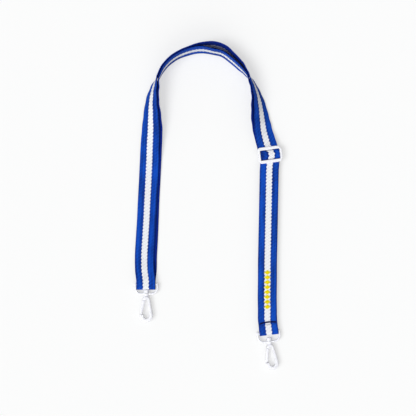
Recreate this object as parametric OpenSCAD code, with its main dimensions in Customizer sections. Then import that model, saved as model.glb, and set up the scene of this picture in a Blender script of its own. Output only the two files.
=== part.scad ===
// Adjustable neck strap: striped webbing, a slider and two swivel snap hooks.
// Lies flat, in millimetres, +Z up from the table and +Y towards the crown of the neck loop.
// One webbing runs from the right hook, through the slider, over the crown, round the left
// hook's bar, back inside itself over the crown, and ends in a loop on the slider's middle bar.

/* [Webbing] */
// Width of the webbing
web_w = 20; // [18:0.5:22]
// Thickness of one layer of webbing
web_t = 1.2; // [1:0.1:1.4]
// Gap between the two layers where one rests on the other
layer_gap = 0.2; // [0.15:0.05:0.3]
// How far the layers stand apart at the top of the crown
crown_gap = 5; // [3.5:0.5:6]
// How far the under layer shows beside the upper one on the flat runs
peek = 2.6; // [0:0.2:3]
// Length of the sewn tail behind the right hook's bar
tail_len = 19; // [14:1:24]

/* [Slider] */
// Play of the webbing in the slider's window, both sides together
window_play = 2.7; // [2.6:0.1:4]
// Length of the slider, along the webbing
slider_len = 17; // [16.6:0.2:21]
// Width of the slider's end bars, along the webbing
rail = 3.2; // [2.6:0.2:3.6]
// Thickness of the slider's side walls, beside the webbing
side_wall = 1.3; // [1.2:0.1:2.5]
// Width of the slider's side rails, over the webbing's edges
side_rail = 2.3; // [1.5:0.1:2.4]
// Thickness of the slider's end bars
bar_h = 2; // [1.6:0.2:3]
// How far the slider sits turned on the webbing
slider_turn = 7.5; // [0:0.5:8]

/* [Swivel yokes] */
// Radius of the bar that the webbing folds round
bar_r = 1.6; // [1.5:0.1:1.8]
// Play of the webbing between the yoke's arms, both sides together
yoke_play = 1.6; // [1.6:0.2:4]
// Width of the yoke's band
yoke_band = 1.9; // [1.7:0.1:3]
// Thickness of the yoke's band
yoke_h = 3.6; // [3:0.2:4.4]
// From the bar to the inside of the yoke's end
yoke_depth = 9; // [8.6:0.2:11]

/* [Snap hooks] */
// Length of a hook, from the yoke to its tip
hook_len = 27.6; // [26:0.2:34]
// Widest part of a hook
hook_w = 14; // [13:0.5:17]
// Width of the hook's opening at the bowl
bowl_w = 6; // [5:0.5:7]
// Radius of the swivel stem
stem_r = 1.6; // [1.3:0.1:1.8]
// Width of the sprung gate
gate_w = 2.8; // [2.2:0.1:3]

/* [Hidden] */
// Clearances
fold_gap = 0.2;
loop_gap = 0.1;
bight_gap = 0.1;
run_gap = 0.25;
turn_gap = 0.25;
gate_gap = 0.5;
eps = 0.01;
twist_gap = 0.45;

// Heights that follow from the bars and the layers
fold_r = bar_r + fold_gap + web_t / 2;
bar_z = web_t / 2 + fold_r;
run_z = web_t / 2 + 2 * fold_r;
loop_r = (run_z - 1.5 * web_t - layer_gap) / 2;
mid_bar_r = loop_r - web_t / 2 - loop_gap;
mid_bar_z = web_t / 2 + loop_r;
stack = web_t + layer_gap;

// Openings that the webbing passes through, wider than it by their play
window_w = web_w + window_play;
yoke_in = web_w + yoke_play;

// Where the hook bars lie, and the way each end of the webbing points
left_at = [-65.1, -84.4];
left_slack = 2.6;
right_at = [63.9, -132];
right_turn = 7;
left_shift = 0.25 * yoke_play;
right_shift = -0.4 * yoke_play;

// The straight run that the slider travels on
slide_top = [64.5, 55.5];
slide_low = [62.25, -60];
slide_dir = (slide_low - slide_top) / norm(slide_low - slide_top);
slider_at = slide_top + 1.3 * slide_dir + [0.65, 0];

// Outer layer, from the left bar over the crown to the right bar.
// Each station is x, y, roll about the run, and lift above the layer's own rest on the table.
LEFT_OUT = [
    [left_at.x, left_at.y + eps, 0, 2 * fold_r],
    [left_at.x, left_at.y + 2, 0, 2 * fold_r],
    [left_at.x, left_at.y + 5, 0, 2 * fold_r],
    [-66.5, -67, 0, 3.4],
    [-66.9, -53, 0, stack],
    [-66, -36, 0, stack],
    [-64.7, -15, 0, stack],
    [-63.7, 6, 0, stack],
    [-62.6, 27, 0, stack],
    [-61.6, 48, 2, stack],
    [-60.8, 66, 10, twist_lift(10)],
    [-60, 80, 20, twist_lift(20)],
    [-59.6, 95, 36, twist_lift(36)],
    [-59, 110.6, 52, twist_lift(52)],
    [-56.7, 124, 68, twist_lift(68)],
];
CROWN_OUT = [
    [-52.8, 135.6, 88, 0],
    [-46.2, 146.6, 94, 0],
    [-36, 156, 97, 0],
    [-22, 162.5, 101, 0],
    [-7, 166.6, 106, 0],
    [7, 167.2, 108, 0],
    [17, 163.6, 108, 0],
    [26, 155.6, 107, 0],
    [34.4, 147.4, 103, 0],
    [40.6, 139.8, 92, 0],
];
RIGHT_OUT = [
    [47, 129, 75, 0],
    [51.2, 118, 65, twist_lift(65)],
    [54.2, 105, 50, twist_lift(50)],
    [56.3, 91, 36, twist_lift(36)],
    [58, 79.9, 20, run_z - rest_z(20) + 0.2],
    [60.6, 69.6, 7, run_z - rest_z(7)],
    [62.3, 64, 1, run_z - rest_z(1)],
    [slide_top.x, slide_top.y, 0, run_z - web_t / 2],
    for (s = [1:6]) let (p = slide_top + s / 6 * (slide_low - slide_top))
        [p.x, p.y, 0, run_z - web_t / 2],
    [62.2, -78, 0, run_z - web_t / 2],
    [62, -96, 0, run_z - web_t / 2],
    [62.2, -110, 0, run_z - web_t / 2],
    for (s = [14, 7, 0])
        [right_at.x - s * sin(right_turn), right_at.y + s * cos(right_turn), 0, run_z - web_t / 2],
];
OUT = concat(LEFT_OUT, CROWN_OUT, RIGHT_OUT);

// Inner layer: the outer one stepped inwards by the stack, sideways where it peeks out, and
// standing straighter where it leaves the outer one. Each entry is the extra gap, the side
// step and the change of roll at one station of the left, crown and right.
LEFT_STEP = [
    [0, 0, 0], [0, 0, 0], [0, 0, 0],
    for (k = [1, 1.25, 1.25, 1.1, 1, 1, 1]) [0, k * peek, 0],
    for (k = [1, 1, 0.8, 0.5]) [twist_gap, k * peek, 0],
    [2.8 * twist_gap, 0.2 * peek, 0],
];
CROWN_STEP = [
    [1.8 * twist_gap, 0, 0],
    for (i = [1:3]) [twist_gap, 0, 0],
    [0.4 * crown_gap, 0, -5],
    [crown_gap, 0, -10], [0.8 * crown_gap, 0, -10], [0.5 * crown_gap, 0, -9],
    [0.36 * crown_gap, 0, -6], [twist_gap + 0.1, 0, 0],
];
RIGHT_STEP = [
    for (k = [0.2, 0.5, 1, 1]) [twist_gap, k * peek, 0],
    [twist_gap, 0.4 * peek, -2],
];
STEP = concat(LEFT_STEP, CROWN_STEP, RIGHT_STEP);

// The inner layer ends where the loop on the slider begins
loop_len = 11;
loop_shift = -0.9;
loop_skew = 0.14;
slider_up = [-sin(slider_turn), cos(slider_turn)];
slider_right = [slider_up.y, -slider_up.x];
loop_way = (slider_up - loop_skew * slider_right) / norm([1, loop_skew]);
loop_start = slider_at + loop_len * slider_up + (loop_shift - loop_skew * loop_len) * slider_right;

// Lift of the outer layer over the inner one where both of them twist
function twist_lift(roll) = (stack + twist_gap) * cos(roll);

// Small vector helpers
function unit(v) = v / norm(v);
function flat_unit(v) = unit([v.x, v.y, 0]);
function spot(s) = [s[0], s[1], rest_z(s[2]) + s[3]];
function rest_z(roll) = web_w / 2 * abs(sin(roll)) + web_t / 2 * abs(cos(roll));

// Slope at station i of a list, weighted by the lengths on both sides
function slope(p, i) =
    i == 0 ? unit(p[1] - p[0]) :
    i == len(p) - 1 ? unit(p[i] - p[i - 1]) :
    let (a = norm(p[i] - p[i - 1]), b = norm(p[i + 1] - p[i]))
        ((p[i] - p[i - 1]) / a * b + (p[i + 1] - p[i]) / b * a) / (a + b);

// A point on the smooth curve between stations i and i + 1
function ease(p, i, u) =
    let (d = norm(p[i + 1] - p[i]), u2 = u * u, u3 = u2 * u)
        (2 * u3 - 3 * u2 + 1) * p[i] + (u3 - 2 * u2 + u) * d * slope(p, i)
        + (3 * u2 - 2 * u3) * p[i + 1] + (u3 - u2) * d * slope(p, i + 1);

// Roll, or any other column of the stations, eased from each station to the next
rings_each = 4;
function eased(s, column) = [
    for (i = [0:len(s) - 2], k = [0:rings_each - 1])
        let (u = k / rings_each, e = u * u * (3 - 2 * u))
            s[i][column] + e * (s[i + 1][column] - s[i][column]),
    s[len(s) - 1][column],
];

// Every point along stations: the curve in plan, and the height that the roll and lift give
function along(s) =
    let (plan = [for (p = s) [p[0], p[1]]], roll = eased(s, 2), lift = eased(s, 3))
        [
            for (i = [0:len(s) - 2], k = [0:rings_each - 1])
                let (p = ease(plan, i, k / rings_each), n = i * rings_each + k)
                    [p.x, p.y, rest_z(roll[n]) + lift[n]],
            spot(s[len(s) - 1]),
        ];

// The four corners of the webbing's section at ring i of points p with rolls r
function heading(p, i) = unit(p[min(i + 1, len(p) - 1)] - p[max(i - 1, 0)]);
function across(p, r, i) =
    let (t = heading(p, i), f = flat_unit(t), left = [-f.y, f.x, 0])
    let (w = -cos(r[i]) * left + sin(r[i]) * [0, 0, 1])
        unit(w - (w * t) * t);
function face(p, r, i) = cross(across(p, r, i), heading(p, i));
function section(p, r, i) =
    let (w = across(p, r, i) * web_w / 2, n = face(p, r, i) * web_t / 2)
        [p[i] - w - n, p[i] + w - n, p[i] + w + n, p[i] - w + n];

// Inner layer's stations, worked out from the outer ones
out_spots = [for (s = OUT) spot(s)];
function step_in(i) =
    let (s = OUT[i], f = flat_unit(slope(out_spots, i)), left = [-f.y, f.x, 0])
    let (p = spot(s) - sin(s[2]) * (stack + STEP[i][0]) * left - cos(s[2]) * STEP[i][1] * left)
        [p.x, p.y, s[2] + STEP[i][2], 0];
IN = concat(
    [for (i = [0:len(STEP) - 1]) step_in(i)],
    [for (d = [3, 1.5, eps]) let (p = loop_start + d * loop_way) [p.x, p.y, 0, 0]]
);

out_points = along(OUT);
out_rolls = eased(OUT, 2);
in_points = along(IN);
in_rolls = eased(IN, 2);

// Ring numbers where one node of the webbing hands over to the next
crown_first = len(LEFT_OUT) * rings_each;
crown_last = (len(LEFT_OUT) + len(CROWN_OUT)) * rings_each;
out_last = len(out_points) - 1;
in_last = len(in_points) - 1;

// Hooks, from the bar downwards
head_r = 2.8;
head_top = 5.6;
boss_r = bar_z;
eye_r = stem_r + turn_gap;
yoke_end = yoke_depth + yoke_band + 0.9;
hook_top = yoke_end + 0.2;
hook_end = yoke_end + hook_len;
hook_h = 2 * bar_z;
corner_r = 5.5;
neck_r = 4.1;
bowl_y = hook_end - hook_w / 2;
gate_top = hook_top + 5.4;
gate_low = bowl_y - 1;
seat_gap = 0.12;
gate_pivot = [-3, -gate_top];
slider_w = window_w + 2 * side_wall;
end_bar_z = run_z + web_t / 2 + run_gap;
leg_w = 5;
left_corner = 3.2;
right_corner = 5.6;
loop_rise = 6.6;
sewn_end = loop_len - 1.6;
loop_top = [-loop_skew * loop_len, loop_len];
loop_side = web_w / 2 * [1, loop_skew] / norm([1, loop_skew]);
hem_rise = 9.3;
row_gap = 0.8;
hook_edge = 1.4;
band_edge = 0.9;
bar_edge = 0.7;
leg_wall = side_wall - 0.2;
bight_rise = 1;
stitch_r = 0.3;

blue = [0.08, 0.2, 0.62];
milky = [0.95, 0.95, 0.97];
thread = [0.04, 0.08, 0.35];
$fn = 48;

// A strip of webbing through rings first to last of a layer
module strip(p, r, first, last) {
    count = last - first;
    corners = [for (i = [first:last]) each section(p, r, i)];
    sides = [
        for (i = [0:count - 1], k = [0:3])
            let (a = 4 * i + k, b = 4 * i + (k + 1) % 4)
                each [[a, a + 4, b], [b, a + 4, b + 4]],
    ];
    end = 4 * count;
    caps = [[0, 1, 2], [0, 2, 3], [end, end + 2, end + 1], [end, end + 3, end + 2]];
    color(blue) polyhedron(points = corners, faces = concat(sides, caps));
}

module webbing_outer_left() strip(out_points, out_rolls, 0, crown_first);
module webbing_outer_crown() strip(out_points, out_rolls, crown_first, crown_last);
module webbing_outer_right() strip(out_points, out_rolls, crown_last, out_last);
module webbing_inner_left() strip(in_points, in_rolls, 0, crown_first);
module webbing_inner_crown() strip(in_points, in_rolls, crown_first, crown_last);
module webbing_inner_right() strip(in_points, in_rolls, crown_last, in_last);

// Half a turn of webbing round a bar that lies along X, opening towards +Y
module fold(radius, width) {
    rotate([0, 90, 0])
        rotate([0, 0, -180])
            rotate_extrude(angle = 180)
                translate([radius, 0])
                    square([web_t, width], center = true);
}

// Places its children with a hook's bar at the origin and the hook towards -Y
module at_left() {
    translate([left_at.x, left_at.y, bar_z]) children();
}

module at_right() {
    translate([right_at.x, right_at.y, bar_z]) rotate([0, 0, right_turn]) children();
}

module at_slider() {
    translate([slider_at.x, slider_at.y, 0]) rotate([0, 0, slider_turn]) children();
}

module webbing_left_fold() {
    color(blue) at_left() fold(fold_r, web_w);
}

module webbing_right_fold() {
    color(blue) at_right() fold(fold_r, web_w);
}

module webbing_right_tail() {
    color(blue)
        at_right()
            translate([-web_w / 2, 0, -fold_r - web_t / 2])
                cube([web_w, tail_len, web_t]);
}

// The webbing's end: under the middle bar, round it, and back on to itself, where it is sewn
module webbing_slider_loop() {
    color(blue)
        at_slider() translate([loop_shift, 0, 0]) {
            linear_extrude(web_t)
                polygon([
                    [-web_w / 2, 0],
                    [web_w / 2, 0],
                    loop_top + loop_side,
                    loop_top - loop_side,
                ]);
            translate([0, 0, mid_bar_z]) fold(loop_r, web_w);
            skewed() {
                translate([-web_w / 2, 0, 0])
                    rotate([90, 0, 90])
                        linear_extrude(web_w)
                            polygon([
                                [0, 2 * loop_r],
                                [loop_rise * 0.25, 2 * loop_r - 0.1],
                                [loop_rise, web_t + 0.02],
                                [sewn_end, web_t + 0.02],
                                [sewn_end, 2 * web_t],
                                [loop_rise, 2 * web_t],
                                [loop_rise * 0.25, 2 * loop_r + web_t - 0.1],
                                [0, 2 * loop_r + web_t],
                            ]);
                translate([-web_w / 2, loop_rise + 0.4, web_t / 2])
                    cube([web_w, sewn_end - loop_rise - 0.4, web_t]);
            }
        }
}

// Leans its children to the left as they go up from the slider's middle bar
module skewed() {
    multmatrix([[1, -loop_skew, 0, 0], [0, 1, 0, 0], [0, 0, 1, 0]]) children();
}

// The webbing's rise in the slider's window, which travels with the slider
module webbing_slider_bight() {
    half = slider_len / 2 - rail - bight_gap;
    foot = end_bar_z - run_gap + bight_gap;
    steps = 16;
    rise = [for (i = [0:steps]) let (u = 2 * i / steps - 1) [u * half, bight_rise * (1 - u * u)]];
    color(blue)
        at_slider()
            translate([-web_w / 2, 0, foot])
                rotate([90, 0, 90])
                    linear_extrude(web_w)
                        polygon(concat(
                            rise,
                            [for (i = [steps:-1:0]) rise[i] + [0, web_t]]
                        ));
}

// A row of thread stitches across the webbing, as short rounded bars along X
module stitch_row(count, y, z) {
    pitch = (web_w - 3) / count;
    for (i = [0:count - 1])
        translate([(i - (count - 1) / 2) * pitch - 0.35 * pitch, y, z])
            rotate([0, 90, 0]) cylinder(r = stitch_r, h = 0.7 * pitch, $fn = 12);
}

module hem_stitches_right() {
    color(thread)
        at_right()
            for (row = [0:1])
                stitch_row(8, hem_rise + row_gap * row, fold_r + web_t / 2 + stitch_r);
}

module hem_stitches_slider() {
    color(thread)
        at_slider()
            translate([loop_shift, 0, 0])
                for (row = [0:1])
                    let (up = loop_rise + 1 + row_gap * row)
                        translate([-loop_skew * up, 0, 0])
                            stitch_row(8, up, 2 * web_t + stitch_r + eps);
}

// Slider: a frame over the webbing, with a dropped middle bar under it
module slider() {
    bar_w = slider_w - 2 * (side_wall - leg_wall) - 2 * eps;
    color(milky)
        at_slider() {
            translate([0, 0, end_bar_z + bar_h / 2])
                difference() {
                    rounded_plate(bar_h, bar_edge) slider_outline();
                    translate([0, 0, -bar_h])
                        linear_extrude(2 * bar_h)
                            round_oblong(slider_w - 2 * side_rail, slider_len - 2 * rail, 0.5);
                }
            for (side = [-1, 1])
                translate([side * (window_w + leg_wall) / 2, 0, 0]) slider_leg();
            translate([-bar_w / 2, 0, mid_bar_z])
                rotate([0, 90, 0]) cylinder(r = mid_bar_r, h = bar_w);
        }
}

// The frame's outline in plan, rounder at its right end
module slider_outline() {
    hull() {
        for (y = [-1, 1]) {
            translate([left_corner - slider_w / 2, y * (slider_len / 2 - left_corner)])
                circle(r = left_corner, $fn = 32);
            translate([slider_w / 2 - right_corner, y * (slider_len / 2 - right_corner)])
                circle(r = right_corner, $fn = 48);
        }
    }
}

// An oblong with round corners, in plan
module round_oblong(width, length, r) {
    hull()
        for (x = [-1, 1], y = [-1, 1])
            translate([x * (width / 2 - r), y * (length / 2 - r)]) circle(r = r, $fn = 32);
}

// A plate about z = 0 with round outer edges, from a convex outline
module rounded_plate(height, edge) {
    hull()
        for (a = [0:30:90])
            let (half = height / 2 - edge * (1 - sin(a)))
                translate([0, 0, -half])
                    linear_extrude(2 * half)
                        offset(delta = -edge * (1 - cos(a)))
                            children();
}

// The side wall's leg, which reaches down from the rail to the middle bar
module slider_leg() {
    translate([-leg_wall / 2, 0, 0])
        rotate([90, 0, 90])
            linear_extrude(leg_wall)
                hull() {
                    translate([0, mid_bar_z]) circle(r = mid_bar_r + 0.5, $fn = 32);
                    translate([-leg_w / 2, end_bar_z]) square([leg_w, 1]);
                }
}

// Yoke: a D-shaped band on the bar, with an eye for the hook's stem
module yoke() {
    band_x = yoke_in / 2;
    color(milky)
        difference() {
            union() {
                difference() {
                    rounded_plate(yoke_h, band_edge) yoke_outline(yoke_band);
                    translate([0, 0, -yoke_h])
                        linear_extrude(2 * yoke_h) yoke_outline(0);
                }
                translate([-band_x - yoke_band / 2, 0, 0])
                    rotate([0, 90, 0]) cylinder(r = bar_r, h = yoke_in + yoke_band);
                translate([0, -yoke_end, 0])
                    rotate([-90, 0, 0]) cylinder(r = boss_r, h = yoke_end - yoke_depth);
            }
            translate([0, -yoke_end - 1, 0])
                rotate([-90, 0, 0]) cylinder(r = eye_r, h = yoke_end - yoke_depth + 2);
        }
}

// The yoke's outline in plan, grown by a margin; the inner one runs on past the bar
module yoke_outline(grow) {
    corner_x = yoke_in / 2 - corner_r;
    open = grow > 0 ? 0 : 4;
    end_r = grow > 0 ? grow : 0.5;
    hull() {
        for (x = [-1, 1]) {
            translate([x * corner_x, corner_r - yoke_depth]) circle(r = corner_r + grow, $fn = 48);
            translate([x * (yoke_in / 2 + grow - end_r), open]) circle(r = end_r, $fn = 32);
        }
    }
}

// Hook: stem and head through the yoke's eye, neck, arm and bowl
module hook() {
    color(milky) {
        translate([0, -yoke_depth + turn_gap, 0])
            rotate([-90, 0, 0]) cylinder(r = head_r, h = yoke_depth - turn_gap - head_top);
        translate([0, -hook_top - 1, 0])
            rotate([-90, 0, 0]) cylinder(r = stem_r, h = hook_top + 1 - head_top - 0.5);
        difference() {
            rounded_plate(hook_h, hook_edge) hook_outline();
            translate([0, 0, -hook_h])
                linear_extrude(2 * hook_h) {
                    hook_opening();
                    gate_space();
                }
        }
    }
}

module hook_outline() {
    hull() {
        translate([0, -hook_top - neck_r]) circle(r = neck_r, $fn = 48);
        translate([0, -bowl_y]) circle(r = hook_w / 2, $fn = 64);
    }
}

// The opening narrows from a true round bowl, which carries the load, to the neck
module hook_opening() {
    translate([0, -bowl_y - 0.4]) circle(r = bowl_w / 2, $fn = 64);
    hull() {
        translate([0.6, -hook_top - 5]) circle(r = 1.7, $fn = 32);
        translate([0, -bowl_y - 0.4]) circle(r = bowl_w / 2, $fn = 64);
    }
}

// Where the gate sits in the hook's side: a round seat at its root and a gap down to the nose
module gate_space() {
    translate(gate_pivot) circle(r = gate_w / 2 + seat_gap, $fn = 48);
    translate([-hook_w, -gate_low])
        square([hook_w + 0.6, gate_low - gate_top + 0.3]);
}

// Gate: a sprung tongue that closes the hook's side
module gate() {
    tip = [-hook_w / 2 + gate_w / 2 + 0.2, -gate_low + gate_gap + gate_w / 2];
    color(milky)
        rounded_plate(hook_h - 0.8, bar_edge)
            hull() {
                translate(gate_pivot) circle(r = gate_w / 2, $fn = 48);
                translate(tip) circle(r = gate_w / 2, $fn = 32);
            }
}

module left_yoke() at_left() translate([left_shift, left_slack, 0]) yoke();
module left_hook() at_left() translate([left_shift, left_slack, 0]) hook();
module left_gate() at_left() translate([left_shift, left_slack, 0]) gate();
module right_yoke() at_right() translate([right_shift, 0, 0]) yoke();
module right_hook() at_right() translate([right_shift, 0, 0]) hook();
module right_gate() at_right() translate([right_shift, 0, 0]) gate();

webbing_outer_left();
webbing_outer_crown();
webbing_outer_right();
webbing_inner_left();
webbing_inner_crown();
webbing_inner_right();
webbing_left_fold();
webbing_right_fold();
webbing_right_tail();
webbing_slider_loop();
webbing_slider_bight();
hem_stitches_right();
hem_stitches_slider();
slider();
left_yoke();
left_hook();
left_gate();
right_yoke();
right_hook();
right_gate();
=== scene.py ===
# %% [markdown]
# # A striped neck strap, dressed on its CAD frame
# The object is a long loop of striped webbing with a slider and two swivel snap hooks. It lies
# flat, and the crown of the loop stands on its edge. The solids come from a imported CAD model in
# metres. The plastic parts stay where they are in it. The webbing follows the same route as the
# CAD's, which is given as a list, and one end of it departs a little, as its cell says.

# %% Load the frame
import math

import bmesh
import bpy
import numpy as np
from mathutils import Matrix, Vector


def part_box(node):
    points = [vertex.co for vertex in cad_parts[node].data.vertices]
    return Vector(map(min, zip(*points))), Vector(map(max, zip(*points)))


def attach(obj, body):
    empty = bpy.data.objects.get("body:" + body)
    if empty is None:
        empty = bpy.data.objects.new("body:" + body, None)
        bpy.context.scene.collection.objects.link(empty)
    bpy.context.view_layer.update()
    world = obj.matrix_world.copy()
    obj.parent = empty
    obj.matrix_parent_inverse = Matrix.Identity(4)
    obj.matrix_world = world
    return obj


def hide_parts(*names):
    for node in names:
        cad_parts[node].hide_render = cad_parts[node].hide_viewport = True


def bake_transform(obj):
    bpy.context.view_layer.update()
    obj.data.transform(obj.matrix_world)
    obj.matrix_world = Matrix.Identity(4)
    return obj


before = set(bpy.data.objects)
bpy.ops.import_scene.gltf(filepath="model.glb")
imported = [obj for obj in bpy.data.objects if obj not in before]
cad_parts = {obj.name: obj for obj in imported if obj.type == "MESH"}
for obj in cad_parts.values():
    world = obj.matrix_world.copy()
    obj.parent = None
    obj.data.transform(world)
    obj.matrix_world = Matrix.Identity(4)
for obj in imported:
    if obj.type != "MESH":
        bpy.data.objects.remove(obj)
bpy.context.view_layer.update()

MM = 0.001

# %% [markdown]
# ## Camera
# The strap is seen from straight above. A camera that looks down the Z axis needs no rotation,
# and its lens follows from the width of table that it sees from its height.

# %% Camera
SEEN_WIDTH = 0.4379
CAMERA_HEIGHT = 1.0
VIEW_MIDDLE_Y = -0.0016
camera = bpy.data.objects.new("camera", bpy.data.cameras.new("camera"))
camera.location = (0, VIEW_MIDDLE_Y, CAMERA_HEIGHT)
camera.data.lens = camera.data.sensor_width * CAMERA_HEIGHT / SEEN_WIDTH
bpy.context.collection.objects.link(camera)
bpy.context.scene.camera = camera
bpy.context.scene.view_settings.view_transform = "Standard"
print("lens:", round(camera.data.lens, 1), "mm")

# %% [markdown]
# ## Nodes, with little typing
# Materials are made of nodes and links. These helpers add a node, set or link its inputs, and
# hand back its output, so that a formula in the shader reads like a formula in the script.

# %% Node helpers
def add_node(tree, kind, inputs=None, **settings):
    """A new node with its settings made, and its inputs given as values or as other sockets."""
    node = tree.nodes.new(kind)
    for name, value in settings.items():
        setattr(node, name, value)
    for key, value in (inputs or {}).items():
        if isinstance(value, bpy.types.NodeSocket):
            tree.links.new(value, node.inputs[key])
        else:
            node.inputs[key].default_value = value
    return node


def calc(tree, operation, *values, clamp=False):
    """One Math node."""
    node = add_node(tree, "ShaderNodeMath", dict(enumerate(values)), operation=operation)
    node.use_clamp = clamp
    return node.outputs[0]


def mix_colors(tree, amount, first, second):
    """One Mix node for colours."""
    node = add_node(tree, "ShaderNodeMix", data_type="RGBA")
    sockets = (node.inputs[0], node.inputs[6], node.inputs[7])
    for socket, value in zip(sockets, (amount, first, second)):
        if isinstance(value, bpy.types.NodeSocket):
            tree.links.new(value, socket)
        else:
            socket.default_value = value
    return node.outputs[2]


def new_group(name, inputs, outputs):
    """An empty shader group. Its sockets map each name to a type, or to (type, value)."""
    tree = bpy.data.node_groups.new(name, "ShaderNodeTree")
    for side, sockets in (("INPUT", inputs), ("OUTPUT", outputs)):
        for label, kind in sockets.items():
            kind, value = kind if isinstance(kind, tuple) else (kind, None)
            socket = tree.interface.new_socket(
                label, in_out=side, socket_type="NodeSocket" + kind)
            if value is not None:
                socket.default_value = value
    return tree, tree.nodes.new("NodeGroupInput").outputs, tree.nodes.new("NodeGroupOutput").inputs


def new_material(name):
    """A material with a Principled shader, ready to be wired."""
    material = bpy.data.materials.new(name)
    material.use_nodes = True
    tree = material.node_tree
    return material, tree, tree.nodes["Principled BSDF"]


def use_group(tree, group, **inputs):
    """Places a group in a material. Underscores in the names stand for spaces."""
    values = {name.replace("_", " "): value for name, value in inputs.items()}
    return add_node(tree, "ShaderNodeGroup", values, node_tree=group)


def linear(red, green, blue):
    """A colour written as on a screen, 0 to 255, in the linear values that shaders use."""
    return tuple((c / 255) ** 2.2 for c in (red, green, blue)) + (1.0,)


print("a middle grey of 128 is", round(linear(128, 128, 128)[0], 3), "in linear values")

# %% [markdown]
# ## The weave
# The webbing is a twill of thick yarns that lean one way, with fine lengthwise ribs, and a white
# stripe whose edges step in and out with each pair of crossing yarns. It could be an image or real
# yarns. A shader is lighter, as long as it knows where it is on the webbing. So each mesh keeps
# an attribute called "weave": the distance along and across the webbing in metres, and 1 on its
# front or -1 on its back. The pattern then follows every turn and has the same scale everywhere.
# The back is painted navy and its stripe grey, as painted shade: it shows beside and inside the
# outer layer, in that layer's shadow.

# %% Weave: yarns and ribs
weave_group, gi, go = new_group(
    "webbing weave",
    {"Weave": "Vector", "Crease": "Float",
     "Blue": ("Color", (0, 0, 1, 1)), "White": ("Color", (1, 1, 1, 1)),
     "Navy": ("Color", (0, 0, 0.1, 1)), "Grey": ("Color", (0.3, 0.3, 0.3, 1)),
     "Stripe Half Width": ("Float", 0.0030), "Yarn Pitch": ("Float", 0.0018)},
    {"Color": "Color", "Height": "Float", "Rough": "Float"},
)
t = weave_group
split = add_node(t, "ShaderNodeSeparateXYZ", {0: gi["Weave"]})
along, across, front = split.outputs
turns = calc(t, "DIVIDE", along, gi["Yarn Pitch"])
side = calc(t, "ABSOLUTE", across)
steps = calc(t, "DIVIDE", side, gi["Yarn Pitch"])
# Twill: diagonal yarns, which lean the same way on both sides of the stripe
lean = calc(t, "DIVIDE", across, calc(t, "MULTIPLY", gi["Yarn Pitch"], 1.6))
diagonal = calc(t, "ADD", turns, lean)
twill = calc(t, "SINE", calc(t, "MULTIPLY", diagonal, 2 * math.pi))
# Ribs: warp yarns that run lengthwise, each about half a pitch wide
rib = calc(t, "SINE", calc(t, "MULTIPLY", steps, 4 * math.pi))
fibres = add_node(t, "ShaderNodeTexNoise", {"Vector": gi["Weave"], "Scale": 900.0, "Detail": 3.0})
height = calc(t, "ADD", calc(t, "MULTIPLY", twill, 0.5), calc(t, "MULTIPLY", rib, 0.35))
height = calc(t, "ADD", height, calc(t, "MULTIPLY", fibres.outputs[0], 0.5))
# Pairs: every second diagonal yarn is pulled a little tighter than its neighbour
pairs = calc(t, "SINE", calc(t, "MULTIPLY", diagonal, math.pi))
height = calc(t, "ADD", height, calc(t, "MULTIPLY", pairs, 0.18))
t.links.new(height, go["Height"])
rough = calc(t, "SUBTRACT", 0.78, calc(t, "MULTIPLY", height, 0.1), clamp=True)
t.links.new(rough, go["Rough"])
print("relief of the weave:", len(t.nodes), "nodes")

# %% Weave: the stripe's stepped edge
# Every second diagonal yarn bulges over the edge of the stripe, in short steps
STEP_OUT, EDGE_INSET, EDGE_SHARPNESS = 0.6 * MM, 0.25 * MM, 7000.0
steps_out = calc(t, "ADD", pairs, 0.5, clamp=True)
reach = calc(t, "SUBTRACT", side, calc(t, "MULTIPLY", steps_out, STEP_OUT))
edge = calc(t, "SUBTRACT", calc(t, "SUBTRACT", gi["Stripe Half Width"], EDGE_INSET), reach)
stripe = calc(t, "MULTIPLY", edge, EDGE_SHARPNESS, clamp=True)
print("with the stripe:", len(t.nodes), "nodes")

# %% Weave: light and dark
patches = add_node(
    t, "ShaderNodeTexNoise", {"Vector": gi["Weave"], "Scale": 45.0, "Detail": 3.0})
# Streaks: yarns from different dye lots run on for a long way, each a little darker or lighter
STREAKS_PER_METRE = (18.0, 480.0, 1.0)
stretched = add_node(
    t, "ShaderNodeVectorMath", {0: gi["Weave"], 1: STREAKS_PER_METRE}, operation="MULTIPLY")
streaks = add_node(
    t, "ShaderNodeTexNoise", {"Vector": stretched.outputs[0], "Scale": 1.0, "Detail": 1.0})
# Selvedge: the outermost yarns turn back, and are painted darker there, as shade
selvedge = add_node(t, "ShaderNodeMapRange", {0: side, 1: 0.0084, 2: 0.0097, 3: 0.0, 4: 0.4})
# Beside the stripe the blue yarns sink in, and are painted darker there, as shade
beside = add_node(t, "ShaderNodeMapRange", {0: side, 1: 0.0034, 2: 0.0054, 3: 0.35, 4: 0.0})
# Painted shade between the yarns, with slow changes from dyeing and handling
cloudy = calc(t, "MULTIPLY", patches.outputs[0], 1.3)
shade = calc(t, "ADD", calc(t, "MULTIPLY", height, 0.22), cloudy)
shade = calc(t, "ADD", shade, calc(t, "MULTIPLY", streaks.outputs[0], 1.7))
shade = calc(t, "SUBTRACT", shade, calc(t, "ADD", selvedge.outputs[0], beside.outputs[0]))
shade = calc(t, "ADD", shade, calc(t, "MULTIPLY", pairs, 0.1))
shade = calc(t, "SUBTRACT", shade, 0.86, clamp=True)
print("with light and dark:", len(t.nodes), "nodes")

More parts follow.
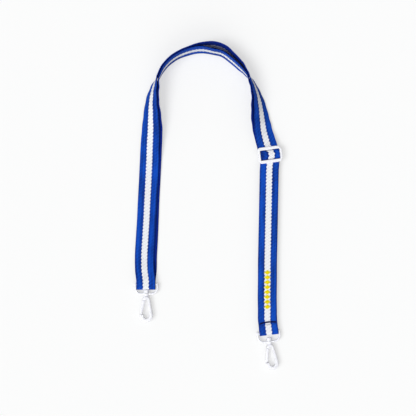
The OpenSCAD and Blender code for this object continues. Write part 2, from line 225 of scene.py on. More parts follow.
# %% Weave: colours
deep = mix_colors(t, 0.72, gi["Blue"], (0.0, 0.0, 0.03, 1))
blue_yarn = mix_colors(t, shade, deep, gi["Blue"])
# The white is painted grey in the weave's low places, as painted shade
raised_yarn = calc(t, "ADD", calc(t, "MULTIPLY", height, 0.5), 0.72, clamp=True)
white_yarn = mix_colors(t, raised_yarn, gi["Grey"], gi["White"])
# The back is painted navy with a grey stripe, as painted shade
shaded_back_stripe = mix_colors(t, 0.25, gi["Grey"], gi["Navy"])
behind = calc(t, "MULTIPLY", calc(t, "SUBTRACT", 0.4, front), 4.0, clamp=True)
blue_yarn = mix_colors(t, behind, blue_yarn, gi["Navy"])
white_yarn = mix_colors(t, behind, white_yarn, shaded_back_stripe)
cloth = mix_colors(t, stripe, blue_yarn, white_yarn)
# Creases: painted shade where the webbing dives under a bar or meets a seam
dark = mix_colors(t, 0.75, cloth, (0.0, 0.0, 0.03, 1))
t.links.new(mix_colors(t, gi["Crease"], cloth, dark), go["Color"])
print("weave group:", len(t.nodes), "nodes")

# %% [markdown]
# ## Thread twist
# Sewing thread and embroidery thread are plied: fine ridges wind round each strand. One group
# draws them for every thread, from a "weave" attribute that holds length and turn of a strand.

# %% Thread twist group
thread_group, gi, go = new_group(
    "thread twist",
    {"Weave": "Vector", "Thread": ("Color", (0, 0, 0.2, 1)),
     "Twist Pitch": ("Float", 0.0006), "Depth": ("Float", 0.4)},
    {"Color": "Color", "Height": "Float"},
)
t = thread_group
split = add_node(t, "ShaderNodeSeparateXYZ", {0: gi["Weave"]})
turn = calc(t, "ADD", calc(t, "DIVIDE", split.outputs[0], gi["Twist Pitch"]), split.outputs[1])
ply = calc(t, "ABSOLUTE", calc(t, "SINE", calc(t, "MULTIPLY", turn, math.pi)))
# The valleys between the plies are painted darker, as painted shade
valley = mix_colors(t, gi["Depth"], gi["Thread"], (0, 0, 0, 1))
t.links.new(mix_colors(t, calc(t, "POWER", ply, 0.6), valley, gi["Thread"]), go["Color"])
t.links.new(ply, go["Height"])
print("thread group:", len(t.nodes), "nodes")

# %% [markdown]
# ## Handling wear
# Plastic dulls where it is touched. The wear group gives a mask that is high on outer edges,
# broken up by noise, and a slow change of gloss for the flat places. As a group, it can be
# placed in any other plastic with its own size and amount.

# %% Handling wear group
wear_group, gi, go = new_group(
    "handling wear",
    {"Size": ("Float", 300.0), "Amount": ("Float", 1.0)},
    {"Edge": "Float", "Patches": "Float"},
)
t = wear_group
place = add_node(t, "ShaderNodeTexCoord")
cloud = add_node(
    t, "ShaderNodeTexNoise",
    {"Vector": place.outputs["Object"], "Scale": gi["Size"], "Detail": 4.0})
point = add_node(t, "ShaderNodeNewGeometry").outputs["Pointiness"]
rim = add_node(t, "ShaderNodeMapRange", {0: point, 1: 0.5, 2: 0.62, 3: 0.0, 4: 1.0})
broken_rim = calc(t, "MULTIPLY", rim.outputs[0], cloud.outputs[0])
t.links.new(calc(t, "MULTIPLY", broken_rim, gi["Amount"], clamp=True), go["Edge"])
t.links.new(calc(t, "MULTIPLY", cloud.outputs[0], gi["Amount"], clamp=True), go["Patches"])
print("wear group:", len(t.nodes), "nodes")

# %% [markdown]
# ## Materials
# Cloth is rough with a soft sheen. The plastic is milky: light goes a little way in and comes
# out again, which is what subsurface does. The thread is smoother than the cloth.

# %% Webbing material
webbing_mat, t, bsdf = new_material("striped webbing")
weave_at = add_node(t, "ShaderNodeAttribute", attribute_name="weave").outputs["Vector"]
# The crease attribute marks bands of painted shade, under bars and beside a seam
crease_shade_at = add_node(t, "ShaderNodeAttribute", attribute_name="crease_shade").outputs["Fac"]
# Navy and Grey are painted shade: the back in the outer layer's shadow, and the white in the
# weave's low places
weave = use_group(
    t, weave_group, Weave=weave_at, Crease=crease_shade_at,
    Blue=linear(20, 78, 192), White=linear(251, 252, 255),
    Navy=linear(7, 38, 128), Grey=linear(176, 178, 196))
bump = add_node(
    t, "ShaderNodeBump",
    {"Strength": 0.55, "Distance": 0.25 * MM, "Height": weave.outputs["Height"]})
t.links.new(weave.outputs["Color"], bsdf.inputs["Base Color"])
t.links.new(weave.outputs["Rough"], bsdf.inputs["Roughness"])
t.links.new(bump.outputs[0], bsdf.inputs["Normal"])
bsdf.inputs["Specular IOR Level"].default_value = 0.1
bsdf.inputs["Sheen Weight"].default_value = 0.04
bsdf.inputs["Sheen Roughness"].default_value = 0.5
bsdf.inputs["Sheen Tint"].default_value = (0.4, 0.6, 1.0, 1)
print(webbing_mat.name, "-", len(t.nodes), "nodes")

# %% Plastic material
plastic_mat, t, bsdf = new_material("milky plastic")
wear = use_group(t, wear_group, Size=350.0, Amount=1.0)
tint = mix_colors(t, wear.outputs["Edge"], linear(248, 248, 255), linear(240, 240, 250))
place = add_node(t, "ShaderNodeTexCoord").outputs["Object"]
flow = add_node(t, "ShaderNodeTexNoise", {"Vector": place, "Scale": 900.0, "Detail": 2.0})
worn = calc(t, "MULTIPLY", wear.outputs["Patches"], 0.5)
grain = calc(t, "ADD", calc(t, "MULTIPLY", flow.outputs[0], 0.5), worn)
bump = add_node(t, "ShaderNodeBump", {"Strength": 0.12, "Distance": 0.1 * MM, "Height": grain})
t.links.new(tint, bsdf.inputs["Base Color"])
gloss = calc(t, "ADD", calc(t, "MULTIPLY", wear.outputs["Patches"], 0.3), 0.18)
t.links.new(gloss, bsdf.inputs["Roughness"])
t.links.new(bump.outputs[0], bsdf.inputs["Normal"])
bsdf.inputs["Subsurface Weight"].default_value = 0.15
bsdf.inputs["Subsurface Radius"].default_value = (0.95, 0.92, 1.0)
bsdf.inputs["Subsurface Scale"].default_value = 1 * MM
bsdf.inputs["Coat Weight"].default_value = 0.15
print(plastic_mat.name, "-", len(t.nodes), "nodes")

# %% Thread materials
def thread_material(name, color, depth, roughness):
    """Plied thread in one colour."""
    material, tree, shader = new_material(name)
    at = add_node(tree, "ShaderNodeAttribute", attribute_name="weave").outputs["Vector"]
    twist = use_group(tree, thread_group, Weave=at, Thread=color, Depth=depth)
    relief = add_node(
        tree, "ShaderNodeBump",
        {"Strength": 0.5, "Distance": 0.1 * MM, "Height": twist.outputs["Height"]})
    tree.links.new(twist.outputs["Color"], shader.inputs["Base Color"])
    tree.links.new(relief.outputs[0], shader.inputs["Normal"])
    shader.inputs["Roughness"].default_value = roughness
    shader.inputs["Sheen Weight"].default_value = 0.02
    shader.inputs["Specular IOR Level"].default_value = 0.15
    return material


navy_thread = thread_material("navy thread", linear(10, 20, 84), 0.5, 0.6)
yellow_thread = thread_material("yellow thread", linear(255, 236, 4), 0.08, 0.5)
print("materials:", [m.name for m in bpy.data.materials])

# %% [markdown]
# ## The route of the webbing
# The webbing is one strip, and its path is a list of stations: where its middle is, how far it
# has rolled, and how far it is lifted above the table. They are given one by one and are the same
# as in the CAD. A smooth curve through the stations gives as many rings as the mesh needs.
# A Bezier curve with tilt could do this, but plain vectors let the two layers share one path.

# %% Stations of the outer layer
WEB_W, WEB_T = 20 * MM, 1.2 * MM
STACK = 1.4 * MM  # from one layer's middle to the next, lying flat
TWIST_GAP = 0.45 * MM  # what more the layers need where they twist
RUN_Z = 5.4 * MM  # height of the straight run through the slider
FOLD_R = 2.4 * MM  # from a yoke's bar to the middle of the webbing round it
BAR_Z = 3.0 * MM  # height of a yoke's bar


def rest_height(roll):
    """Height of the webbing's middle when it stands on the table at this roll."""
    return WEB_W / 2 * abs(math.sin(roll)) + WEB_T / 2 * abs(math.cos(roll))


def station(x, y, roll=0.0, lift=0.0):
    """One station, from millimetres and degrees."""
    return np.array((x * MM, y * MM, math.radians(roll), lift * MM))


def stacked(x, y, roll=0.0):
    """A station of the outer layer that lies flat on the inner one."""
    s = station(x, y, roll)
    s[3] = STACK
    return s


def over(x, y, roll):
    """A station of the outer layer that lies on the inner one while both of them twist."""
    s = station(x, y, roll)
    s[3] = (STACK + TWIST_GAP) * math.cos(s[2])
    return s


def raised(x, y, roll=0.0, more=0.0):
    """A station whose middle is at the height of the run through the slider, or a little more."""
    s = station(x, y, roll)
    s[3] = RUN_Z - rest_height(s[2]) + more * MM
    return s


LEFT_BAR = (-65.1, -84.4)
RIGHT_BAR = (63.9, -132)
RIGHT_TURN = math.radians(7)
SLIDE_TOP, SLIDE_LOW = np.array((64.5, 55.5)), np.array((62.25, -60.0))
SLIDER_TURN = math.radians(7.5)
slide_step = SLIDE_LOW - SLIDE_TOP
slide_way = slide_step / np.linalg.norm(slide_step)
slider_at = (SLIDE_TOP + 1.3 * slide_way + (0.65, 0)) * MM
slider_up = np.array((-math.sin(SLIDER_TURN), math.cos(SLIDER_TURN)))
slider_right = np.array((slider_up[1], -slider_up[0]))
LOOP_LEN, LOOP_SHIFT, LOOP_SKEW = 11 * MM, -0.9 * MM, 0.14
loop_at = slider_at + LOOP_SHIFT * slider_right
loop_way = slider_up - LOOP_SKEW * slider_right

left_out = [
    *[station(LEFT_BAR[0], LEFT_BAR[1] + up, 0, 2 * FOLD_R / MM) for up in (0, 2, 5)],
    station(-66.5, -67, 0, 3.4), stacked(-66.9, -53), stacked(-66, -36), stacked(-64.7, -15),
    stacked(-63.7, 6), stacked(-62.6, 27), stacked(-61.6, 48, 2),
    over(-60.8, 66, 10), over(-60, 80, 20), over(-59.6, 95, 36), over(-59, 110.6, 52),
    over(-56.7, 124, 68),
]
crown_out = [
    station(-52.8, 135.6, 88), station(-46.2, 146.6, 94), station(-36, 156, 97),
    station(-22, 162.5, 101), station(-7, 166.6, 106), station(7, 167.2, 108),
    station(17, 163.6, 108), station(26, 155.6, 107), station(34.4, 147.4, 103),
    station(40.6, 139.8, 92),
]
right_out = [
    station(47, 129, 75), over(51.2, 118, 65), over(54.2, 105, 50), over(56.3, 91, 36),
    raised(58, 79.9, 20, 0.2), raised(60.6, 69.6, 7), raised(62.3, 64, 1), raised(*SLIDE_TOP),
    *[raised(*(SLIDE_TOP + part / 6 * slide_step)) for part in range(1, 7)],
    raised(62.2, -78), raised(62, -96), raised(62.2, -110),
    *[raised(RIGHT_BAR[0] - up * math.sin(RIGHT_TURN), RIGHT_BAR[1] + up * math.cos(RIGHT_TURN))
      for up in (14, 7, 0)],
]
outer = np.array(left_out + crown_out + right_out)
print("stations:", len(outer))

# %% [markdown]
# The inner layer is the outer one stepped inwards by its thickness. It peeks out sideways on
# the flat runs, and near the top of the crown it falls away from the outer layer.

# %% Stations of the inner layer
def slopes(points):
    """Smooth tangents at points, weighted by the distance to both neighbours."""
    gaps = np.linalg.norm(np.diff(points, axis=0), axis=1)[:, None]
    ways = np.diff(points, axis=0) / gaps
    between = (ways[:-1] * gaps[1:] + ways[1:] * gaps[:-1]) / (gaps[:-1] + gaps[1:])
    return np.vstack([ways[:1], between, ways[-1:]])


# Each step is the gap and the sideways peek, in millimetres, and the lean, in degrees
PEEK, CROWN_GAP, GAP = 2.6, 5.0, TWIST_GAP / MM
steps_in = (
    [(0, 0, 0)] * 3 + [(0, k * PEEK, 0) for k in (1, 1.25, 1.25, 1.1, 1, 1, 1)]
    + [(GAP, k * PEEK, 0) for k in (1, 1, 0.8, 0.5)] + [(2.8 * GAP, 0.2 * PEEK, 0)]
    + [(1.8 * GAP, 0, 0)] + [(GAP, 0, 0)] * 3
    + [(0.4 * CROWN_GAP, 0, -5), (CROWN_GAP, 0, -10), (0.8 * CROWN_GAP, 0, -10)]
    + [(0.5 * CROWN_GAP, 0, -9), (0.36 * CROWN_GAP, 0, -6)]
    + [(GAP + 0.1, 0, 0)]
    + [(GAP, k * PEEK, 0) for k in (0.2, 0.5, 1, 1)] + [(GAP, 0.4 * PEEK, -2)]
)
spots = np.array([(x, y, rest_height(r) + h) for x, y, r, h in outer])
inner = []
for s, spot, way, (gap, sideways, lean) in zip(outer, spots, slopes(spots), steps_in):
    flat_way = way[:2] / np.linalg.norm(way[:2])
    to_left = np.array((-flat_way[1], flat_way[0]))
    inwards = math.sin(s[2]) * (STACK + gap * MM) + math.cos(s[2]) * sideways * MM
    middle = spot[:2] - inwards * to_left
    inner.append((*middle, s[2] + math.radians(lean), 0))
loop_start = loop_at + LOOP_LEN * loop_way
inner += [(*(loop_start + d * MM * loop_way), 0, 0) for d in (3, 1.5, 0.01)]
inner = np.array(inner)
print("inner stations:", len(inner))

# %% [markdown]
# Each ring of the mesh needs a centre, the direction across the webbing, and the normal of its
# face. Everything else, such as ribs and rounded edges, is laid out from these three.

# %% From stations to rings
def directions(points):
    """Unit vectors along a path, at each of its points."""
    ahead = np.gradient(points, axis=0)
    return ahead / np.linalg.norm(ahead, axis=1)[:, None]


def distances_along(points):
    """How far each point is from the start, measured along the path."""
    return np.concatenate([[0], np.cumsum(np.linalg.norm(np.diff(points, axis=0), axis=1))])


def rings_along(stations, each):
    """Centres, across and face vectors along the smooth curve, with several rings per station."""
    plan, rates = stations[:, :2], slopes(stations[:, :2])
    spots = []
    for i in range(len(stations) - 1):
        reach = np.linalg.norm(plan[i + 1] - plan[i])
        for u in np.arange(each) / each:
            e = u * u * (3 - 2 * u)
            at = ((1 - e) * plan[i] + e * plan[i + 1] + (u**3 - 2 * u * u + u) * reach * rates[i]
                  + (u**3 - u * u) * reach * rates[i + 1])
            roll, lift = stations[i, 2:] * (1 - e) + stations[i + 1, 2:] * e
            spots.append((*at, roll, lift))
    spots.append(tuple(stations[-1]))
    return frames_of(np.array(spots))


def frames_of(spots):
    """Ring frames from rows of x, y, roll and lift."""
    centres = np.array([(x, y, rest_height(r) + h) for x, y, r, h in spots])
    ahead = directions(centres)
    to_left = np.column_stack([-ahead[:, 1], ahead[:, 0], np.zeros(len(ahead))])
    to_left /= np.linalg.norm(to_left, axis=1)[:, None]
    roll = spots[:, 2][:, None]
    across = -np.cos(roll) * to_left + np.sin(roll) * np.array((0, 0, 1))
    across -= (across * ahead).sum(1)[:, None] * ahead
    across /= np.linalg.norm(across, axis=1)[:, None]
    return centres, across, np.cross(across, ahead)


def half_turn(x, y, turn, radius, middle_z, count=20):
    """Rings of the webbing round a bar, from its top side to its underside."""
    across = np.array((math.cos(turn), math.sin(turn), 0))
    out = np.array((math.sin(turn), -math.cos(turn), 0))
    angles = np.linspace(math.pi / 2, -math.pi / 2, count)
    face = np.array([math.cos(a) * out + np.array((0, 0, math.sin(a))) for a in angles])
    centre = np.array((x, y, middle_z)) + radius * face
    return centre, np.tile(across, (count, 1)), face


SAME_RING = 0.02 * MM


def join_runs(*runs):
    """One list of rings from several, without doubles where two runs meet."""
    parts = [np.concatenate(column) for column in zip(*runs)]
    gaps = np.linalg.norm(np.diff(parts[0], axis=0), axis=1)
    keep = np.concatenate([[True], gaps > SAME_RING])
    return [part[keep] for part in parts]


RINGS_EACH = 10
outer_run = rings_along(outer, RINGS_EACH)
inner_run = rings_along(inner, RINGS_EACH)
print("rings:", len(outer_run[0]), "outer,", len(inner_run[0]), "inner")

# %% [markdown]
# ## Webbing as one mesh
# The section has a flat face and rounded selvedges that are a little thicker than the middle.
# A lofted mesh is better here than a curve with a bevel: the twist is exact, both faces carry
# the stripes, and the attribute for the weave can be written point by point.

# %% Webbing mesh
def webbing_section():
    """Offsets across and out of the face, going round the webbing once."""
    half, thick = WEB_W / 2, WEB_T / 2
    top = [(w * half, thick * (0.93 + 0.07 * abs(w) ** 3)) for w in np.linspace(-0.93, 0.93, 15)]
    bend = [(half * 0.97, thick * 0.86), (half * 0.993, thick * 0.5), (half, 0.0)]
    right = bend + [(w, -h) for w, h in bend[1::-1]]
    return np.array(top + right + [(w, -h) for w, h in top[::-1]] + [(-w, -h) for w, h in right])


def tube_faces(count, around):
    """The four-sided faces between rings of points, one ring after the other."""
    return [
        (i * around + k, i * around + (k + 1) % around,
         (i + 1) * around + (k + 1) % around, (i + 1) * around + k)
        for i in range(count - 1) for k in range(around)
    ]


def write_attribute(mesh, name, kind, field, values):
    """Keeps one value or vector at each point of a mesh, for the shader to read."""
    attribute = mesh.attributes.new(name, kind, "POINT")
    attribute.data.foreach_set(field, np.asarray(values, np.float32).ravel())


def webbing_mesh(name, run, start=0.0, ends=(True, True), drift=0.0, crease_shades=()):
    """A strip of webbing through rings, with closed ends and its attributes for the shader.

    drift moves the stripes sideways at each ring, and each band of painted crease shade is
    (distance, spread, depth).
    """
    centres, across, face = run
    section = webbing_section()
    count, around = len(centres), len(section)
    length = start + distances_along(centres)
    points = (centres[:, None] + section[None, :, :1] * across[:, None]
              + section[None, :, 1:] * face[:, None])
    faces = tube_faces(count, around)
    if ends[0]:
        faces.append(tuple(range(around))[::-1])
    if ends[1]:
        faces.append(tuple(range((count - 1) * around, count * around)))
    mesh = bpy.data.meshes.new(name)
    mesh.from_pydata(points.reshape(-1, 3).tolist(), [], faces)
    where = np.zeros((count, around, 3))
    where[:, :, 0] = length[:, None]
    where[:, :, 1] = section[None, :, 0] - np.broadcast_to(drift, count)[:, None]
    where[:, :, 2] = np.sign(section[None, :, 1])
    write_attribute(mesh, "weave", "FLOAT_VECTOR", "vector", where)
    depth = np.zeros(count)
    for at, spread, deep in crease_shades:
        depth = np.maximum(depth, deep * np.exp(-(((length - at) / spread) ** 2)))
    write_attribute(mesh, "crease_shade", "FLOAT", "value", np.repeat(depth, around))
    return finish_piece(name, mesh, webbing_mat), length[-1]


def finish_piece(name, mesh, material):
    """An object for a mesh, with outward normals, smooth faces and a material."""
    body = bmesh.new()
    body.from_mesh(mesh)
    bmesh.ops.recalc_face_normals(body, faces=body.faces)
    body.to_mesh(mesh)
    body.free()
    mesh.polygons.foreach_set("use_smooth", [True] * len(mesh.polygons))
    mesh.materials.append(material)
    piece = bpy.data.objects.new(name, mesh)
    bpy.context.collection.objects.link(piece)
    return piece

# %% [markdown]
# ## Main length of webbing
# It starts at the sewn tail, turns round the right hook's bar, goes over the crown, turns round
# the left hook's bar, and comes back inside itself to the far side of the crown. The runs are
# put end to end in that order. Each keeps its face on the same side of the cloth, so the face
# of the tail, the folds and the inner layer point the other way from the outer layer's.
# The tail starts on the table and climbs to the underside of the run, where it is sewn on. The
# plain CAD tail stays flat on the table, so this is where the two models differ.

# %% Main length of webbing
def turned(run, across=1, face=1, backwards=False):
    """A run whose across or face vectors are reversed, or that is walked backwards."""
    parts = [run[0], across * run[1], face * run[2]]
    return [column[::-1] for column in parts] if backwards else parts


def straight(x, y, turn, distances, heights):
    """Rings of a straight run away from a bar, at heights of the webbing's middle."""
    way = np.array((-math.sin(turn), math.cos(turn)))
    centres = np.array([(*(np.array((x, y)) + d * way), z) for d, z in zip(distances, heights)])
    ahead = directions(centres)
    across = np.tile(np.array((math.cos(turn), math.sin(turn), 0)), (len(centres), 1))
    return centres, across, np.cross(across, ahead)


def ease(share):
    """A share from 0 to 1 that starts and ends gently, and stays at its limits beyond them."""
    share = np.clip(share, 0, 1)
    return share * share * (3 - 2 * share)


left_bar = np.array(LEFT_BAR) * MM
right_bar = np.array(RIGHT_BAR) * MM
TAIL_LEN, CLIMB_START, CLIMB_LEN = 19 * MM, 2.2 * MM, 7 * MM
TAIL_DRIFT, DRIFT_START = 1.6 * MM, 0.4  # the tail's end was sewn on a little askew
SEWN_STEP = 1.02 * WEB_T  # from one layer's middle to the next, where they are sewn together
tail_low, tail_high = WEB_T / 2, RUN_Z - SEWN_STEP
tail_at = np.linspace(0, TAIL_LEN, 20)
tail_z = tail_low + (tail_high - tail_low) * ease((tail_at - CLIMB_START) / CLIMB_LEN)
tail_run = straight(*right_bar, RIGHT_TURN, tail_at, tail_z)
tail_run[0][:, 0] += TAIL_DRIFT * np.clip(tail_at / TAIL_LEN - DRIFT_START, 0, 1) ** 1.5
right_fold = half_turn(*right_bar, RIGHT_TURN, FOLD_R, BAR_Z)
left_fold = half_turn(*left_bar, 0, FOLD_R, BAR_Z)
hand_over = (len(left_out) + len(crown_out)) * RINGS_EACH
main_run = join_runs(
    turned(tail_run, across=-1, face=-1, backwards=True),
    turned(right_fold, across=-1, backwards=True),
    turned(outer_run, backwards=True),
    left_fold,
    turned([column[: hand_over + 1] for column in inner_run], face=-1),
)
hem_start = sum(distances_along(run[0])[-1] for run in (tail_run, right_fold))
# Painted shade in two bands beside the hem's rows of stitches
hem_crease_shades = [(hem_start + 8.5 * MM, 0.8 * MM, 0.5), (hem_start + 11.0 * MM, 0.7 * MM, 0.4)]
webbing, main_length = webbing_mesh(
    "webbing_main", main_run, ends=(True, False), crease_shades=hem_crease_shades)
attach(webbing, "strap")
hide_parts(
    "webbing_outer_left", "webbing_outer_crown", "webbing_outer_right",
    "webbing_inner_left", "webbing_inner_crown",
    "webbing_left_fold", "webbing_right_fold", "webbing_right_tail",
)
print("main webbing:", round(main_length / MM), "mm,", len(webbing.data.vertices), "vertices")

# %% [markdown]
# ## Under layer and the slider's loop
# From the crown the inner layer goes on to the slider's middle bar, turns round it, and is sewn
# back on to itself. When the slider moves, real webbing is pulled through the loop. Here the
# piece is one mesh, from the crown round the loop to its sewn end.

# %% Under layer and slider loop
LOOP_R = 1.7 * MM
LOOP_Z = WEB_T / 2 + LOOP_R
LOOP_RISE = 6.6 * MM  # where the loop's upper side has come down on the lower one
SEWN_END = LOOP_LEN - 1.6 * MM
FLAT_RINGS, BACK_RINGS = 12, 18


def loop_rings(ups, heights, turns):
    """Rings along the loop's leaning path, at distances up from the slider's middle bar."""
    centres = np.array([(*(loop_at + up * loop_way), z) for up, z in zip(ups, heights)])
    ahead = directions(centres)
    across = np.column_stack([np.cos(turns), np.sin(turns), np.zeros(len(turns))])
    face = np.cross(across, ahead)
    return centres, across, face / np.linalg.norm(face, axis=1)[:, None]


under_part = [column[hand_over:] for column in inner_run]
flat_at = np.linspace(0, LOOP_LEN - 0.1 * MM, FLAT_RINGS)
flat_turn = SLIDER_TURN + math.atan(LOOP_SKEW) * flat_at / LOOP_LEN
flat_part = loop_rings(flat_at, np.full(FLAT_RINGS, WEB_T / 2), flat_turn)
loop_turn = half_turn(*loop_at, SLIDER_TURN, LOOP_R, LOOP_Z)
back_at = np.linspace(0, SEWN_END, BACK_RINGS)
back_low, back_high = WEB_T / 2 + SEWN_STEP, WEB_T / 2 + 2 * LOOP_R
back_z = back_high + (back_low - back_high) * ease(back_at / LOOP_RISE)
back_part = loop_rings(back_at, back_z, np.full(BACK_RINGS, SLIDER_TURN))
under_run = join_runs(
    turned(under_part, face=-1),
    turned(flat_part, across=-1, face=-1, backwards=True),
    turned(loop_turn, across=-1, backwards=True),
    turned(back_part, across=-1),
)
under, under_length = webbing_mesh(
    "webbing_under_and_loop", under_run, start=main_length, ends=(False, True))
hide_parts("webbing_inner_right", "webbing_slider_loop")
print("under layer ends at", round(under_length / MM), "mm along the webbing")

# %% [markdown]
# ## Webbing in the slider's window
# The webbing is pushed up where it passes over the middle bar and under both end bars, and it
# twists there, so its stripes bow to one side. This rise moves with the slider, so it is a short
# piece of its own. Its edges stay straight between the slider's arms, and only the stripes drift.

# %% Webbing in the slider
HALF_WINDOW, BOW_HEIGHT = 5.15 * MM, 1.0 * MM
STRIPE_BOW, STRIPE_SHIFT = 2.1 * MM, 0.6 * MM
WEAVE_START = 0.4  # where on the weave the piece starts, in metres; any place looks alike
window_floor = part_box("webbing_slider_bight")[0].z
bow = np.linspace(-1, 1, 25)
rise = window_floor + WEB_T / 2 + BOW_HEIGHT * (1 - bow**2)
bight_run = straight(*slider_at, SLIDER_TURN, bow * HALF_WINDOW, rise)
# Painted shade where the webbing dives under the slider's end bars
window_crease_shades = [(WEAVE_START, 1.1 * MM, 0.9), (WEAVE_START + 2 * HALF_WINDOW, 1.0 * MM, 0.8)]
bight, bight_end = webbing_mesh(
    "webbing_in_slider", bight_run, start=WEAVE_START,
    drift=STRIPE_BOW * (1 - bow**2) - STRIPE_SHIFT, crease_shades=window_crease_shades)
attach(bight, "slider_set")
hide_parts("webbing_slider_bight")
print("in the slider:", round((bight_end - WEAVE_START) / MM, 1), "mm of webbing")

# %% [markdown]
# ## Stitches
# Each stitch is a short length of plied thread that dips into the cloth at both ends. Tubes
# made ring by ring are light, and their "weave" attribute gives the twist its length.

# %% Thread tubes
def thread_rings(points, radius, around=8):
    """Points and faces of a tube along a path, closed at both ends, with lengths for the twist."""
    points = np.asarray(points, float)
    ahead = directions(points)
    up = np.tile(np.array((0.0, 0.0, 1.0)), (len(points), 1))
    side = np.cross(ahead, up)
    side /= np.linalg.norm(side, axis=1)[:, None]
    up = np.cross(side, ahead)
    turn = np.arange(around) * 2 * math.pi / around
    ring = np.cos(turn)[None, :, None] * side[:, None] + np.sin(turn)[None, :, None] * up[:, None]
    radii = radius * np.ones(len(points))
    radii[[0, -1]] *= 0.5
    verts = points[:, None] + radii[:, None, None] * ring
    where = np.zeros((len(points), around, 3))
    where[:, :, 0] = distances_along(points)[:, None]
    where[:, :, 1] = np.abs(np.arange(around) / around * 2 - 1)[None]
    last = (len(points) - 1) * around
    faces = tube_faces(len(points), around)
    faces += [tuple(range(around)), tuple(range(last, last + around))]
    return verts.reshape(-1, 3), faces, where.reshape(-1, 3)


def thread_piece(name, paths, radius, material, around=8):
    """One object made of many short threads."""
    verts, faces, where = [], [], []
    for path in paths:
        v, f, w = thread_rings(path, radius, around)
        first = sum(len(x) for x in verts)
        verts.append(v)
        faces += [tuple(first + k for k in face) for face in f]
        where.append(w)
    mesh = bpy.data.meshes.new(name)
    mesh.from_pydata(np.vstack(verts).tolist(), [], faces)
    write_attribute(mesh, "weave", "FLOAT_VECTOR", "vector", np.vstack(where))
    return finish_piece(name, mesh, material)


def on_turned(x, y, turn, across, up, z):
    """A point given across and up from a bar that is turned in plan."""
    return (x + across * math.cos(turn) - up * math.sin(turn),
            y + across * math.sin(turn) + up * math.cos(turn), z)


STITCHES = 8
STITCH_MARGIN = 1.5 * MM


def stitch_paths(x, y, turn, rows, surface, arch=0.0, count=STITCHES):
    """Paths of rows of stitches across the webbing, seen as low arches of thread."""
    pitch = (WEB_W - 2 * STITCH_MARGIN) / count
    paths = []
    for up in rows:
        for i in range(count):
            middle = (i - (count - 1) / 2) * pitch
            path = []
            for u in np.linspace(-1, 1, 9):
                at = middle + 0.46 * pitch * u
                bend = arch * (1 - (at / (WEB_W / 2)) ** 2)
                z = surface + (0.3 - 0.42 * u**4) * MM
                path.append(on_turned(x, y, turn, at, up + bend, z))
            paths.append(path)
    return paths

# %% Hem stitches
HEM_ROWS, HEM_ARCH, HEM_THREAD_R = (9.3 * MM, 10.1 * MM), 1.4 * MM, 0.42 * MM
hem_paths = stitch_paths(*right_bar, RIGHT_TURN, HEM_ROWS, RUN_Z + WEB_T / 2, HEM_ARCH)
hem_right = thread_piece("hem_thread_right", hem_paths, HEM_THREAD_R, navy_thread)
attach(hem_right, "strap")
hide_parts("hem_stitches_right")
LOOP_ROWS, LOOP_THREAD_R = (1.0 * MM, 1.8 * MM), 0.33 * MM
loop_top = back_low + WEB_T / 2
loop_paths = []
for up in LOOP_ROWS:
    row_at = loop_at + (LOOP_RISE + up) * loop_way
    loop_paths += stitch_paths(*row_at, SLIDER_TURN, [0], loop_top)
hem_slider = thread_piece("hem_thread_slider", loop_paths, LOOP_THREAD_R, navy_thread)
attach(hem_slider, "slider_set")
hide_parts("hem_stitches_slider")
print("stitches:", len(hem_paths) + len(loop_paths))

# %% [markdown]
# ## Embroidered diamonds
# The white stripe of the right run carries a row of small diamonds in yellow satin stitch. Each
# is a fan of parallel threads that grow longer towards its middle, which is how a machine fills
# a diamond. Real threads catch the light as satin stitch does, which a flat patch can't.

# %% Embroidered diamonds
def diamond_paths(x, y, turn, width, length, surface, threads=13):
    """Parallel threads across the run that fill one diamond."""
    paths = []
    for u in np.linspace(-0.88, 0.88, threads):
        reach = width / 2 * (1 - abs(u)) + 0.15 * MM
        up = u * length / 2
        path = []
        for v in np.linspace(-1, 1, 7):
            z = surface + (0.26 - 0.36 * v**4) * MM
            path.append(on_turned(x, y, turn, reach * v, up + 0.12 * MM * v, z))
        paths.append(path)
    return paths


def run_middle(y):
    """Where the middle of the right run is at a height in plan, and which way it points."""
    right = outer_run[0][outer_run[0][:, 0] > 50 * MM]
    right = right[np.argsort(right[:, 1])]
    x, x_up = np.interp([y, y + MM], right[:, 1], right[:, 0])
    return x, math.atan2(x - x_up, MM)


DIAMONDS_AT = np.linspace(-69, -105, 8) * MM
DIAMOND_W, DIAMOND_LEN, SATIN_R = 7.6 * MM, 4.7 * MM, 0.17 * MM
satin_paths = []
for y in DIAMONDS_AT:
    x, turn = run_middle(y)
    satin_paths += diamond_paths(x, y, turn, DIAMOND_W, DIAMOND_LEN, RUN_Z + WEB_T / 2)
diamonds = thread_piece(
    "embroidered_diamonds", satin_paths, SATIN_R, yellow_thread, around=6)
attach(diamonds, "strap")
print("diamonds:", len(DIAMONDS_AT), "with", len(satin_paths), "threads")

# %% [markdown]
# ## Plastic parts
# The slider, yokes, hooks and gates are moulded. Their solids are exact, so they stay, and get
# what moulding gives every edge: a small radius. A Bevel would follow each facet of a round wall.
# Fine voxels and a few rounds of smoothing soften every edge alike, and leave the mesh
# underneath as it is.

# %% Plastic parts
VOXEL = 0.2 * MM
# Each part with its rounds of smoothing
PLASTIC_PARTS = {
    "slider": 8, "left_yoke": 12, "left_hook": 14, "left_gate": 12,
    "right_yoke": 12, "right_hook": 14, "right_gate": 12,
}
for name, rounds in PLASTIC_PARTS.items():
    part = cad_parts[name]
    part.data.materials.clear()
    part.data.materials.append(plastic_mat)
    fine = part.modifiers.new("fine voxels", "REMESH")
    fine.mode = "VOXEL"
    fine.voxel_size = VOXEL
    fine.use_smooth_shade = True
    soft = part.modifiers.new("moulded edges", "SMOOTH")
    soft.factor = 0.5
    soft.iterations = rounds
print("plastic parts:", len(PLASTIC_PARTS))

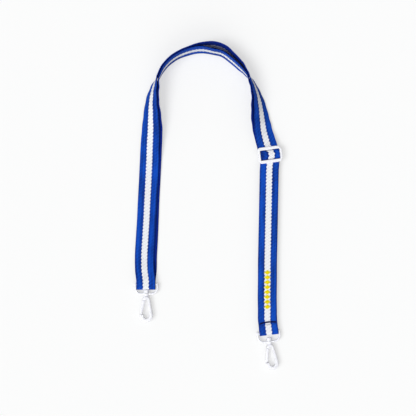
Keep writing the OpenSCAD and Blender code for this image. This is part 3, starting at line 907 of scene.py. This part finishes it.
# %% [markdown]
# ## Floor and light
# The floor is a plain white board. Only the camera and reflections see its extra glow, so the
# background comes out white while its shadows stay and the lamps can stay at a plain level.
# A broad soft lamp at the left makes the shadows, and a weak low one on the hooks' side reaches
# under the crown, where the webbing stands on its edge; the world fills the rest. Both are suns,
# so that they light every part of the strap alike, and their angle sets how soft they are.

# %% Floor
FLOOR_HALF, FLOOR_Z, FLOOR_GLOW = 2.0, -0.2 * MM, 0.52
ways = ((-1, -1), (1, -1), (1, 1), (-1, 1))
corners = [(x * FLOOR_HALF, y * FLOOR_HALF, FLOOR_Z) for x, y in ways]
floor_mesh = bpy.data.meshes.new("floor")
floor_mesh.from_pydata(corners, [], [(0, 1, 2, 3)])
floor = bpy.data.objects.new("floor", floor_mesh)
bpy.context.collection.objects.link(floor)
floor_mat, t, bsdf = new_material("white board")
seen = add_node(t, "ShaderNodeLightPath")
shown = calc(t, "MAXIMUM", seen.outputs["Is Camera Ray"], seen.outputs["Is Glossy Ray"])
shown = calc(t, "MAXIMUM", shown, seen.outputs["Is Transmission Ray"])
bsdf.inputs["Base Color"].default_value = (0.45, 0.45, 0.45, 1)
bsdf.inputs["Roughness"].default_value = 0.9
bsdf.inputs["Specular IOR Level"].default_value = 0.0
bsdf.inputs["Emission Color"].default_value = (1, 1, 1, 1)
t.links.new(calc(t, "MULTIPLY", shown, FLOOR_GLOW), bsdf.inputs["Emission Strength"])
floor_mesh.materials.append(floor_mat)
print("floor:", 2 * FLOOR_HALF, "m wide")

# %% Light
world = bpy.data.worlds.new("studio")
bpy.context.scene.world = world
world.use_nodes = True
sky = world.node_tree.nodes["Background"].inputs
sky["Color"].default_value = (1.0, 0.99, 0.975, 1)
sky["Strength"].default_value = 0.43


def soft_lamp(name, energy, softness, tilt):
    """A broad lamp that lights the whole strap alike, from a direction given as two tilts."""
    sun = bpy.data.lights.new(name, "SUN")
    sun.energy = energy
    sun.angle = math.radians(softness)
    sun.color = (0.97, 0.99, 1.0)
    lamp = bpy.data.objects.new(name, sun)
    lamp.rotation_euler = (math.radians(tilt[0]), math.radians(tilt[1]), 0)
    bpy.context.collection.objects.link(lamp)


soft_lamp("main lamp", energy=1.75, softness=34, tilt=(12, -32))
soft_lamp("low lamp", energy=0.8, softness=50, tilt=(60, 0))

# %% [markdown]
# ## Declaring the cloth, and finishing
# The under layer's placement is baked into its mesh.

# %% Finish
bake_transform(under)
